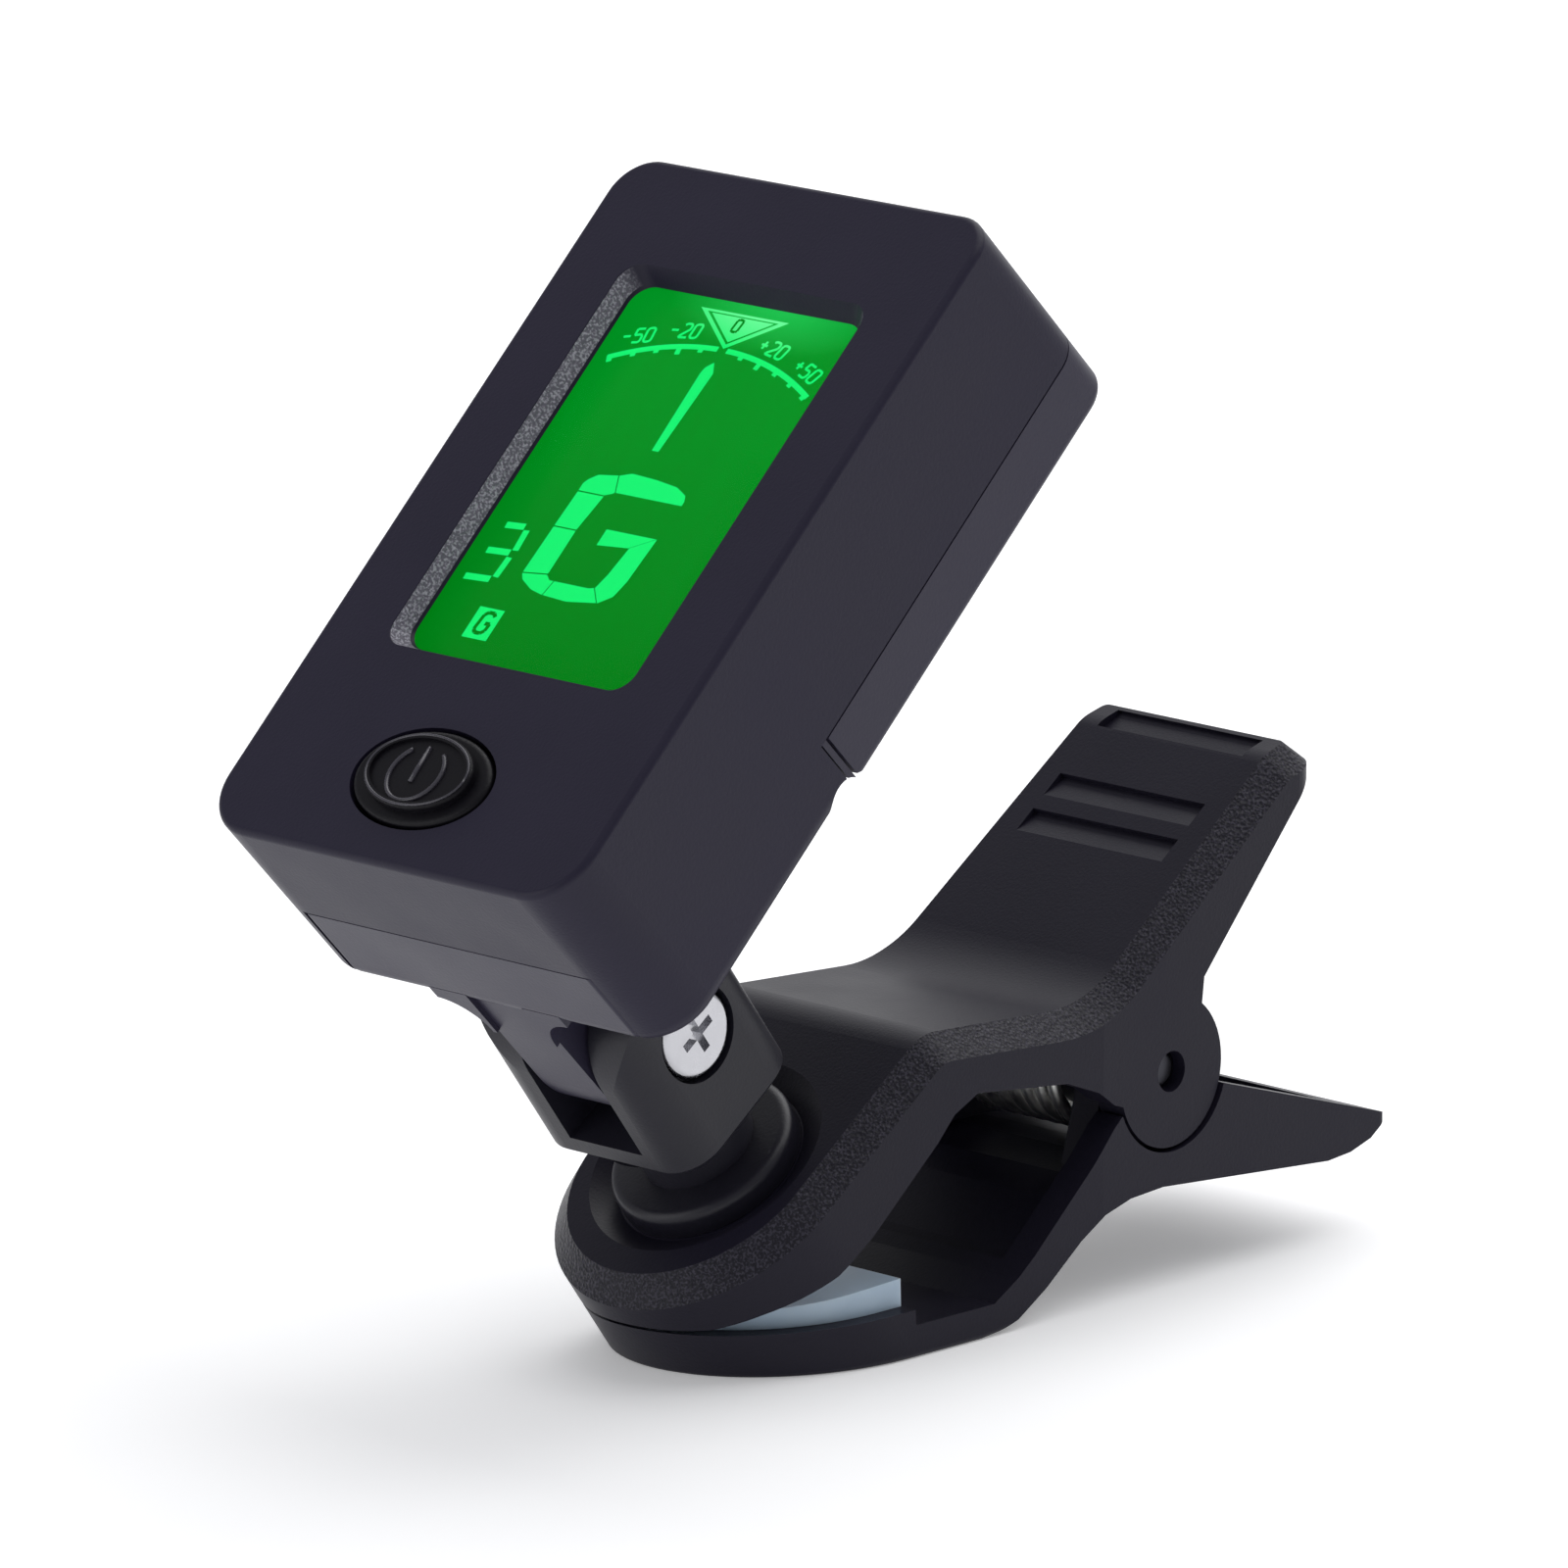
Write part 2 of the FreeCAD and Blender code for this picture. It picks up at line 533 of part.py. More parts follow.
def upper_block():
    """Outside of the upper lever: side profile, pin lobes, then the plan outline."""
    body = profile_y(upper_top_line() + UPPER_LOW_EDGE, CLIP_HALF + 1)
    body = body.makeFillet(BEND_R, cross_edges(body, *HANDLE_BEND))
    body = body.makeFillet(3.5, cross_edges(body, *DECK_FRONT))
    body = body.makeFillet(3.0, cross_edges(body, *HANDLE_END))
    body = body.fuse(cyl_y(PIN.x, PIN.z, (-CLIP_HALF - 1, CLIP_HALF + 1), LOBE_R))
    body = body.common(tip_prism(CLIP_HALF))
    body = body.common(handle_plan(CLIP_HALF, UPPER_TIP_HALF, 34.05, 1.8))
    return body.removeSplitter()


def rim_edges(body):
    """The edges round the top surface: both sides, the jaw tip and the handle tip."""
    top = []
    for face in body.Faces:
        box_of = face.BoundBox
        centre = face.CenterOfMass
        normal = face.normalAt(*face.Surface.parameter(centre))
        spans = box_of.YLength > 13.0
        if spans and normal.z > 0.2 and abs(normal.y) < 0.05 and box_of.ZMax > 17.4:
            top.append(face)
    rim = []
    for k, face in enumerate(top):
        for e in face.Edges:
            shared = any(o.isSame(e) for j, other in enumerate(top) if j != k for o in other.Edges)
            if not shared:
                rim.append(e)
    return rim


def handle_frame():
    d = Vector(HANDLE_END[0] - HANDLE_BEND[0], 0, HANDLE_END[1] - HANDLE_BEND[1])
    slope = math.degrees(math.atan2(d.z, d.x))
    return Placement(Vector(HANDLE_BEND[0], 0, HANDLE_BEND[1]), tilt(slope))


def grip_step(s):
    lift = 0.0 if s < 19 else -0.45
    floor = lift - GRIP_DEPTH
    outline = [(s, 1.0), (s - 0.1, floor), (s - 0.5, floor), (s - 1.9, lift + 0.02), (s - 1.9, 1.0)]
    return placed(profile_y(outline, GRIP_HALF), handle_frame())


def upper_jaw():
    body = upper_block()
    body = body.makeChamfer(RIM_CHAMFER, rim_edges(body))
    inside = profile_y(UPPER_CAVITY, 20).common(cavity_plan(31.4))
    body = body.cut(inside)
    # pocket for the pad, and the lip that hangs in front of the lower pad
    roof = [(-3.45, 9.45), (-4.75, 8.4), (-7.1, 7.25), (-9.2, 6.63), (-12.1, 6.3), (-16.0, 6.05)]
    pocket = profile_y(UPPER_PAD_LOW + roof, 20)
    below = [(-18, 0), (2, 0), (-1.6, 9.4), (-2.5, 8.9), (-3.9, 7.6), (-6.5, 5.9), (-18, 4.3)]
    pocket = pocket.fuse(profile_y(below, 20))
    body = body.cut(pocket.common(tip_prism(UPPER_PAD_HALF + 0.05)))
    front_gap = profile_y([(-18, 0), (-5.5, 0), (-5.5, 4.6), (-9.0, 4.37), (-18, 4.0)], 20)
    body = body.cut(front_gap.common(tip_prism(LIP_HALF)))
    # stem bore, counterbore of the swivel screw and the shallow dish round the foot of the stem
    body = body.cut(placed(cyl_z(0, 0, (-9, 2), SPIGOT_R + RUNNING_GAP), STEM))
    body = body.cut(placed(cyl_z(0, 0, (-9, -2.32), 3.4), STEM))
    dish = cyl_z(0, 0, (-0.8, 3), FLANGE_R + 0.12)
    dish = dish.fuse(Part.makeCone(FLANGE_R + 0.12, FLANGE_R + 1.6, 0.8, Vector(0, 0, -0.8)))
    body = body.cut(placed(dish, STEM))
    body = body.cut(cyl_y(PIN.x, PIN.z, (-20, 20), PIN_HOLE_R))
    for s in GRIP_STEPS:
        body = body.cut(grip_step(s))
    return body


def lower_jaw():
    body = profile_y(LOWER_TOP_EDGE + LOWER_BOTTOM_EDGE, CLIP_HALF + 1)
    body = body.common(tip_prism(CLIP_HALF, -50, 50))
    body = body.common(handle_plan(CLIP_HALF, LOWER_TIP_HALF, 40.0, 0.6))
    body = body.removeSplitter()
    front = []
    for e in edges_where(body, lambda p: abs(p.z) < 1e-6 and p.x < 6):
        middle = e.valueAt((e.FirstParameter + e.LastParameter) / 2)
        if abs(middle.y) > 1.0 or middle.x < -10:
            front.append(e)
    body = body.makeFillet(0.4, front)
    body = body.cut(cyl_y(PIN.x, PIN.z, (-20, 20), LOBE_CLEAR_R))
    inside = profile_y(LOWER_CAVITY, 20).common(cavity_plan(37.5))
    body = body.cut(inside)
    ears = cyl_y(PIN.x, PIN.z, (EAR_IN, EAR_OUT), EAR_R)
    ears = ears.fuse(cyl_y(PIN.x, PIN.z, (2.6, EAR_IN + 0.1), 3.0))
    reach = EAR_R * 0.94
    foot = profile_y([(16.0, 7.3), (26.0, 7.0), (PIN.x + reach, PIN.z), (PIN.x - reach, PIN.z)], 20)
    ears = ears.fuse(foot.common(box((0, 50), (EAR_IN, EAR_OUT), (0, 30))))
    body = body.fuse([ears, ears.mirror(Vector(0, 0, 0), Vector(0, 1, 0))])
    return body.cut(cyl_y(PIN.x, PIN.z, (-20, 20), PIN_R + 0.01))


def upper_pad():
    raised = [(-3.45, 9.4), (-4.75, 8.35), (-7.1, 7.2), (-9.2, 6.58), (-12.1, 6.25), (-16.0, 6.0)]
    body = profile_y(UPPER_PAD_LOW + raised, 20).common(tip_prism(UPPER_PAD_HALF))
    for k in range(5):
        x, z = -11.0 + 1.5 * k, 4.17 + 0.12 * k
        body = body.cut(cyl_y(x, z - 0.1, (-20, 20), 0.3))
    return body


def lower_pad():
    body = profile_y([(-20, 2.86), (-0.5, 2.86), (-0.55, 4.5), (-12.5, 4.0), (-20, 3.65)], 20)
    return body.common(tip_prism(LOWER_PAD_HALF))


def clip_pin():
    pin = cyl_y(PIN.x, PIN.z, (-8.3, 8.3), PIN_R)
    return pin.makeFillet(0.35, pin.Edges[0:1] + pin.Edges[2:3])


def spring_path():
    """Centre line of the spring wire: upper leg, coil and lower leg as one smooth run of points."""
    turns = 6.0 + (360.0 + LOWER_LEG_ANGLE - UPPER_LEG_ANGLE) / 360.0
    half = turns * COIL_PITCH / 2

    def on_coil(angle, y):
        a = math.radians(angle)
        return Vector(PIN.x + COIL_R * math.cos(a), y, PIN.z + COIL_R * math.sin(a))

    def leg(angle, y, sense):
        a = math.radians(angle)
        along = Vector(-sense * math.sin(a), 0, sense * math.cos(a))
        return [on_coil(angle, y) + along * (LEG_LENGTH * k / 5.0) for k in range(1, 6)]

    steps = int(turns * COIL_STEPS)
    coil = [on_coil(UPPER_LEG_ANGLE + 360.0 * turns * k / steps, half - 2 * half * k / steps)
            for k in range(steps + 1)]
    return leg(UPPER_LEG_ANGLE, half, -1.0)[::-1] + coil + leg(LOWER_LEG_ANGLE, -half, 1.0)


def torsion_spring():
    """Close coil round the pin with a straight leg under each handle."""
    points = spring_path()
    curve = Part.BSplineCurve()
    curve.interpolate(points)
    tangent = curve.tangent(curve.FirstParameter)[0]
    circle = Part.Wire(Part.makeCircle(WIRE_R, points[0], tangent))
    return Part.Wire(curve.toShape()).makePipeShell([circle], True, False)


NODES = {
    "front_shell": (front_shell, HEAD),
    "rear_shell": (rear_shell, HEAD),
    "battery_door": (battery_door, HEAD),
    "window_lens": (window_lens, HEAD),
    "display_glass": (display_glass, HEAD),
    "backlight_panel": (backlight_panel, HEAD),
    "backlight_led": (backlight_led, HEAD),
    "zebra_strip": (zebra_strip, HEAD),
    "circuit_board": (circuit_board, HEAD),
    "controller_chip": (controller_chip, HEAD),
    "crystal": (crystal, HEAD),
    "capacitors": (capacitors, HEAD),
    "tact_switch": (tact_switch, HEAD),
    "switch_plunger": (switch_plunger, HEAD),
    "power_button": (power_button, HEAD),
    "coin_cell": (coin_cell, HEAD),
    "contact_negative": (contact_negative, HEAD),
    "contact_positive": (contact_positive, HEAD),
    "piezo_disc": (piezo_disc, HEAD),
    "piezo_leads": (piezo_leads, HEAD),
    "case_screws": (case_screws, HEAD),
    "fork_stem": (fork_stem, STEM),
    "pivot_screw": (pivot_screw, STEM),
    "pivot_nut": (pivot_nut, STEM),
    "friction_washers": (friction_washers, STEM),
    "swivel_screw": (swivel_screw, STEM),
    "swivel_washer": (swivel_washer, STEM),
    "upper_jaw": (upper_jaw, Placement()),
    "lower_jaw": (lower_jaw, Placement()),
    "upper_pad": (upper_pad, Placement()),
    "lower_pad": (lower_pad, Placement()),
    "clip_pin": (clip_pin, Placement()),
    "torsion_spring": (torsion_spring, Placement()),
}

if __name__ == "__main__":
    os.makedirs("parts", exist_ok=True)
    for name, (make, placement) in NODES.items():
        write(name, placed(make(), placement))
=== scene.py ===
import json
import math

import bmesh
import bpy
from mathutils import Matrix, Vector


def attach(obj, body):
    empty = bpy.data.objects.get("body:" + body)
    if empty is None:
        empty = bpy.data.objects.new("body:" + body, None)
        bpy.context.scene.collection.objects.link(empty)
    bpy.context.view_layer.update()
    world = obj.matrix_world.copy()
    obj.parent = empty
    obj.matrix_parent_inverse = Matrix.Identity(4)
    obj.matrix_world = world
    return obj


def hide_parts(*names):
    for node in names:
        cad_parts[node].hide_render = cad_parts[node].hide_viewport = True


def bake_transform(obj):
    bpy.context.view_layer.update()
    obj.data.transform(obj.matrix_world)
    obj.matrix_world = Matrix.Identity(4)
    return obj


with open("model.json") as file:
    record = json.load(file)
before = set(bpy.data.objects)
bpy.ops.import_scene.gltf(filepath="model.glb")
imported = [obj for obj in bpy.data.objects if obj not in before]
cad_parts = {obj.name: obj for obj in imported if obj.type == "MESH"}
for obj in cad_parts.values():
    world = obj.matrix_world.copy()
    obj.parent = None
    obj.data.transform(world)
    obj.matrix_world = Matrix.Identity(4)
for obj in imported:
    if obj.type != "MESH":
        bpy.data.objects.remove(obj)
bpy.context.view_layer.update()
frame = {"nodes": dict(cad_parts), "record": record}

MM = 0.001
NODES = frame["nodes"]
JOINTS = {j["name"]: j for j in frame["record"]["behaviour"]["joints"]}

# ---------------------------------------------------------------- places taken from the joints
PIN = Vector(JOINTS["jaw_open"]["pos_m"])
FOOT = Vector(JOINTS["stem_swivel"]["pos_m"])
ARM_OUT = Vector(JOINTS["stem_swivel"]["axis"]).normalized()
ARM_BACK = Vector((ARM_OUT.z, 0, -ARM_OUT.x))
PIVOT = Vector(JOINTS["head_tilt"]["pos_m"])
FACE_UP = Vector(JOINTS["door_slide"]["axis"]).normalized()
FACE_OUT = -Vector(JOINTS["button_press"]["axis"]).normalized()
FACE_RIGHT = Vector((0, -1, 0))
LUG_UP = 5.3
LUG_OUT = -21.55
FACE_ORIGIN = PIVOT - FACE_UP * LUG_UP * MM - FACE_OUT * LUG_OUT * MM


def on_face(u, up, out=0.0):
    """A point of the head: u to the right across the face, up along it, out of it, in millimetres."""
    return FACE_ORIGIN + FACE_RIGHT * u * MM + FACE_UP * up * MM + FACE_OUT * out * MM


def srgb(r, g, b):
    """Linear colour of an 8-bit screen colour."""
    def linear(level):
        v = level / 255
        return v / 12.92 if level < 11 else ((v + 0.055) / 1.055) ** 2.4

    return (linear(r), linear(g), linear(b), 1.0)


# ---------------------------------------------------------------- shader helpers
class Shader:
    """A material with short calls for the nodes that the materials below share."""

    def __init__(self, name, roughness=0.5, metallic=0.0, specular=0.5):
        self.mat = bpy.data.materials.new(name)
        self.mat.use_nodes = True
        self.tree = self.mat.node_tree
        self.tree.nodes.clear()
        self.bsdf = self.tree.nodes.new("ShaderNodeBsdfPrincipled")
        self.out = self.tree.nodes.new("ShaderNodeOutputMaterial")
        self.link(self.bsdf.outputs[0], self.out.inputs[0])
        self.bsdf.inputs["Roughness"].default_value = roughness
        self.bsdf.inputs["Metallic"].default_value = metallic
        self.bsdf.inputs["Specular IOR Level"].default_value = specular
        self.coords = self.tree.nodes.new("ShaderNodeTexCoord")

    def link(self, a, b):
        self.tree.links.new(a, b)

    def put(self, socket, value):
        """Links a socket, or sets a plain value."""
        if hasattr(value, "is_output"):
            self.link(value, socket)
        else:
            socket.default_value = value

    def noise(self, scale, detail=2.0, stretch=None):
        tex = self.tree.nodes.new("ShaderNodeTexNoise")
        tex.inputs["Scale"].default_value = scale
        tex.inputs["Detail"].default_value = detail
        vector = self.coords.outputs["Object"]
        if stretch:
            mapping = self.tree.nodes.new("ShaderNodeMapping")
            mapping.inputs["Scale"].default_value = stretch
            self.link(vector, mapping.inputs["Vector"])
            vector = mapping.outputs[0]
        self.link(vector, tex.inputs["Vector"])
        return tex.outputs["Fac"]

    def grains(self, scale):
        """Distance to the nearest grain of a cell pattern."""
        tex = self.tree.nodes.new("ShaderNodeTexVoronoi")
        tex.inputs["Scale"].default_value = scale
        self.link(self.coords.outputs["Object"], tex.inputs["Vector"])
        return tex.outputs["Distance"]

    def ramp(self, value, low, high, to_low=0.0, to_high=1.0):
        node = self.tree.nodes.new("ShaderNodeMapRange")
        for socket, v in zip(("From Min", "From Max", "To Min", "To Max"), (low, high, to_low, to_high)):
            node.inputs[socket].default_value = v
        self.put(node.inputs["Value"], value)
        return node.outputs[0]

    def math(self, operation, a, b=0.0, c=0.0):
        node = self.tree.nodes.new("ShaderNodeMath")
        node.operation = operation
        for socket, v in zip(node.inputs, (a, b, c)):
            self.put(socket, v)
        return node.outputs[0]

    def both(self, *values):
        """Product of masks."""
        result = values[0]
        for v in values[1:]:
            result = self.math("MULTIPLY", result, v)
        return result

    def mix(self, factor, a, b):
        node = self.tree.nodes.new("ShaderNodeMix")
        node.data_type = "RGBA"
        self.put(node.inputs[0], factor)
        self.put(node.inputs[6], a)
        self.put(node.inputs[7], b)
        return node.outputs[2]

    def along(self, direction, origin=Vector((0, 0, 0)), of="Object"):
        """Distance along a direction, in metres for a place and as a share for the surface normal."""
        node = self.tree.nodes.new("ShaderNodeVectorMath")
        node.operation = "DOT_PRODUCT"
        self.link(self.coords.outputs[of], node.inputs[0])
        node.inputs[1].default_value = direction
        return self.math("SUBTRACT", node.outputs["Value"], direction.dot(origin))

    def bump(self, height, distance, strength=1.0):
        node = self.tree.nodes.new("ShaderNodeBump")
        node.inputs["Distance"].default_value = distance
        node.inputs["Strength"].default_value = strength
        self.put(node.inputs["Height"], height)
        self.link(node.outputs[0], self.bsdf.inputs["Normal"])

    def colour(self, value):
        self.put(self.bsdf.inputs["Base Color"], value)

    def rough(self, value):
        self.put(self.bsdf.inputs["Roughness"], value)


def shade(colour, factor):
    return tuple(c * factor for c in colour[:3]) + (1.0,)


# ---------------------------------------------------------------- materials
HEAD_PLASTIC = srgb(34, 31, 48)
REAR_PLASTIC = srgb(42, 39, 56)
LEVER_PLASTIC = srgb(27, 25, 37)
STEM_PLASTIC = srgb(27, 26, 35)
# real sparkle texture of the display recess walls, painted light grey as painted light on the walls that
# catch the light
RECESS_SPARKLE_PAINTED_LIGHT = (srgb(104, 101, 112), srgb(166, 163, 174))
RIM_SPARKLE = (srgb(31, 30, 37), srgb(58, 56, 66))
ERODED_GRAIN = 5200
ERODED_DEPTH = 0.012 * MM
SPARKLE_GRAIN = 4300
SPARKLE_SPECKS = 6800
SPARKLE_HEIGHT = 4.0


def moulded(name, base, roughness=0.4, mask_of=None, sparkle=None, specular=0.2):
    """Moulded plastic with a fine eroded grain; mask_of(shader) marks where the sparkle texture goes."""
    s = Shader(name, specular=specular)
    broad = s.noise(90, 3)
    fine = s.noise(ERODED_GRAIN, 2)
    plain = s.mix(broad, shade(base, 0.86), shade(base, 1.16))
    s.rough(s.ramp(broad, 0.3, 0.7, roughness - 0.04, roughness + 0.06))
    height = fine
    if mask_of:
        mask = mask_of(s)
        grains = s.grains(SPARKLE_GRAIN)
        speck = s.ramp(s.noise(SPARKLE_SPECKS, 1), 0.46, 0.66)
        texture = s.mix(speck, *sparkle)
        plain = s.mix(mask, plain, texture)
        height = s.math("ADD", fine, s.both(mask, s.math("MULTIPLY", grains, SPARKLE_HEIGHT)))
    s.colour(plain)
    s.bump(height, ERODED_DEPTH)
    return s.mat


# the sparkle texture of the display recess, as places on the face in millimetres
RECESS_HALF = 9.6
RECESS_BOTTOM = 13.4
RECESS_TOP = 40.85
SPARKLE_START = -0.04
# the sparkle stops here, so the foot of the walls keeps the dark plastic as a painted shadow along the
# display
SPARKLE_STOP_ABOVE_PAINTED_SHADOW = -1.0


def recess_lit_wall_mask(s):
    """The slanted walls of the display recess, painted light, above a plain dark band at their foot that is
    painted shadow; fades out along the downward-facing top wall, which is left dark as painted shade.
    """
    out = s.along(FACE_OUT, FACE_ORIGIN)
    up = s.along(FACE_UP, FACE_ORIGIN)
    across = s.math("ABSOLUTE", s.along(FACE_RIGHT))
    return s.both(s.math("LESS_THAN", out, SPARKLE_START * MM),
                  s.math("GREATER_THAN", out, SPARKLE_STOP_ABOVE_PAINTED_SHADOW * MM),
                  s.math("LESS_THAN", across, RECESS_HALF * MM),
                  s.math("GREATER_THAN", up, RECESS_BOTTOM * MM),
                  s.math("LESS_THAN", up, RECESS_TOP * MM),
                  s.ramp(s.along(FACE_UP, of="Normal"), -0.66, -0.2))


HANDLE_TIP_START = 30.6
HANDLE_TIP_UP = Vector((-0.27, 0, 0.963))
CHAMFER_SHARE = math.sqrt(0.5)


def rim_mask(s):
    """The chamfer band round the top of the upper lever, found from the way its faces point."""
    sideways = s.math("ABSOLUTE", s.along(Vector((0, 1, 0)), of="Normal"))
    side = s.math("COMPARE", sideways, CHAMFER_SHARE, 0.09)
    arm = s.math("COMPARE", s.along(ARM_OUT, of="Normal"), CHAMFER_SHARE, 0.09)
    tip = s.math("COMPARE", s.along(HANDLE_TIP_UP, of="Normal"), CHAMFER_SHARE, 0.1)
    at_arm = s.math("LESS_THAN", s.along(ARM_BACK, FOOT), 0.0)
    at_tip = s.math("GREATER_THAN", s.along(Vector((1, 0, 0))), HANDLE_TIP_START * MM)
    middle = s.both(s.math("SUBTRACT", 1.0, at_arm), s.math("SUBTRACT", 1.0, at_tip), side)
    return s.math("MAXIMUM", middle, s.math("MAXIMUM", s.both(at_arm, arm), s.both(at_tip, tip)))


def metal(name, base, roughness, stretch=(1, 1, 1)):
    """Bare metal with fine streaks along the axis that is stretched least."""
    s = Shader(name, roughness, metallic=1.0)
    streak = s.noise(900, 3, stretch=stretch)
    s.colour(s.mix(streak, shade(base, 0.8), shade(base, 1.12)))
    s.rough(s.ramp(streak, 0.3, 0.7, roughness - 0.06, roughness + 0.08))
    s.bump(streak, 0.004 * MM)
    return s.mat


def rubber(name, base, roughness, specular):
    """Fine matt rubber, for the button and its marks."""
    s = Shader(name, roughness, specular=specular)
    fine = s.noise(3800, 2)
    s.colour(s.mix(s.noise(160, 2), shade(base, 0.85), shade(base, 1.15)))
    s.rough(s.ramp(fine, 0.3, 0.7, roughness - 0.05, roughness + 0.05))
    s.bump(fine, 0.008 * MM)
    return s.mat


def pad_material():
    """Milky pale blue elastomer."""
    s = Shader("pad_elastomer", 0.38, specular=0.5)
    cloud = s.noise(220, 3)
    s.colour(s.mix(cloud, srgb(150, 172, 192), srgb(188, 206, 220)))
    s.bsdf.inputs["Subsurface Weight"].default_value = 0.35
    s.bsdf.inputs["Subsurface Radius"].default_value = (0.8 * MM, 0.9 * MM, 1.1 * MM)
    s.bsdf.inputs["Subsurface Scale"].default_value = 1.0
    s.rough(s.ramp(cloud, 0.3, 0.7, 0.32, 0.46))
    s.bump(s.noise(2600, 2), 0.006 * MM)
    return s.mat


def lens_material():
    """Thin clear window, faintly green."""
    s = Shader("lens_acrylic", 0.03, specular=0.3)
    s.colour(s.mix(s.noise(60, 2), (0.93, 1.0, 0.95, 1), (0.98, 1.0, 0.98, 1)))
    s.bsdf.inputs["Transmission Weight"].default_value = 1.0
    s.bsdf.inputs["IOR"].default_value = 1.07
    s.rough(s.ramp(s.noise(300, 3), 0.35, 0.75, 0.02, 0.05))
    return s.mat


HOT_CENTRE = (1.2, 41.0)
HOT_SQUASH = 2.4
HOT_NEAR = 1.5
HOT_FAR = 8.5


def glow(name, dark, bright, hot):
    """Backlit display: brighter at its top edge and round the lamp, faintly streaked by the light guide."""
    s = Shader(name, 0.3, specular=0.03)
    up = s.along(FACE_UP, FACE_ORIGIN)
    across = s.along(FACE_RIGHT)
    streak = s.noise(140, 3, stretch=(1.0, 5.0, 1.0))
    level = s.mix(s.ramp(up, 14 * MM, 40 * MM), dark, bright)
    level = s.mix(s.ramp(streak, 0.35, 0.75, 0.0, 0.22), level, dark)
    beside = s.math("SUBTRACT", across, HOT_CENTRE[0] * MM)
    below = s.math("MULTIPLY", s.math("SUBTRACT", up, HOT_CENTRE[1] * MM), HOT_SQUASH)
    reach = s.math("SQRT", s.math("ADD", s.math("POWER", beside, 2.0), s.math("POWER", below, 2.0)))
    level = s.mix(s.ramp(reach, HOT_NEAR * MM, HOT_FAR * MM, 0.75, 0.0), level, hot)
    s.colour(shade(dark, 0.15))
    s.link(level, s.bsdf.inputs["Emission Color"])
    s.bsdf.inputs["Emission Strength"].default_value = 1.0
    return s.mat


def board_material():
    """Green solder mask over the tracks of the circuit board."""
    s = Shader("solder_mask", 0.35, specular=0.5)
    tracks = s.grains(520)
    s.colour(s.mix(s.ramp(tracks, 0.42, 0.46), srgb(12, 74, 40), srgb(22, 104, 56)))
    s.bump(tracks, 0.02 * MM)
    return s.mat


def plain_part(name, base, roughness):
    """Slightly uneven plain surface of a small part."""
    s = Shader(name, roughness)
    cloud = s.noise(700, 3)
    s.colour(s.mix(cloud, shade(base, 0.85), shade(base, 1.12)))
    s.rough(s.ramp(cloud, 0.3, 0.7, roughness - 0.05, roughness + 0.07))
    s.bump(cloud, 0.006 * MM)
    return s.mat


DISPLAY_DARK = srgb(0, 122, 18)
DISPLAY_BRIGHT = srgb(0, 146, 34)
DISPLAY_HOT = srgb(38, 205, 90)
SEGMENT = srgb(22, 234, 112)
SEGMENT_HOT = srgb(140, 255, 180)

MATERIALS = {
    "head": moulded("rear_shell_plastic", REAR_PLASTIC, specular=0.32),
    "front": moulded("front_shell_plastic", HEAD_PLASTIC, mask_of=recess_lit_wall_mask, sparkle=RECESS_SPARKLE_PAINTED_LIGHT),
    "lever": moulded("lever_plastic", LEVER_PLASTIC, specular=0.15),
    "rim": moulded("upper_lever_plastic", LEVER_PLASTIC, mask_of=rim_mask, sparkle=RIM_SPARKLE,
                   specular=0.15),
    "stem": moulded("stem_plastic", STEM_PLASTIC, roughness=0.38, specular=0.32),
    "button": rubber("button_black", srgb(15, 14, 19), 0.4, 0.15),
    # lighter and glossier than the button: painted highlight on the power mark and on the crest bead
    "button_painted_highlight": rubber("button_raised_mark_painted_highlight", srgb(52, 50, 59), 0.26, 0.6),
    "pad": pad_material(),
    "lens": lens_material(),
    "display": glow("display_green", DISPLAY_DARK, DISPLAY_BRIGHT, DISPLAY_HOT),
    "segment": glow("display_segments", SEGMENT, SEGMENT, SEGMENT_HOT),
    "dark_segment": glow("display_dark_mark", DISPLAY_DARK, DISPLAY_DARK, DISPLAY_BRIGHT),
    "guide": plain_part("light_guide", srgb(205, 232, 208), 0.3),
    "led": plain_part("led_body", srgb(236, 232, 196), 0.4),
    "board": board_material(),
    "black": plain_part("component_black", srgb(30, 30, 32), 0.45),
    "screw": metal("zinc_steel", srgb(196, 196, 200), 0.24, (1, 6, 1)),
    "spring": metal("spring_wire", srgb(235, 235, 232), 0.34),
    "pin": metal("dark_pin", srgb(70, 70, 76), 0.38),
    "nickel": metal("nickel_strip", srgb(204, 200, 190), 0.26, (1, 5, 1)),
    "brass": metal("brass_sheet", srgb(206, 170, 92), 0.34),
    "tan": plain_part("ceramic_tan", srgb(176, 142, 102), 0.5),
    "strip": plain_part("zebra_rubber", srgb(92, 92, 98), 0.7),
    "nylon": plain_part("natural_nylon", srgb(214, 212, 200), 0.45),
}
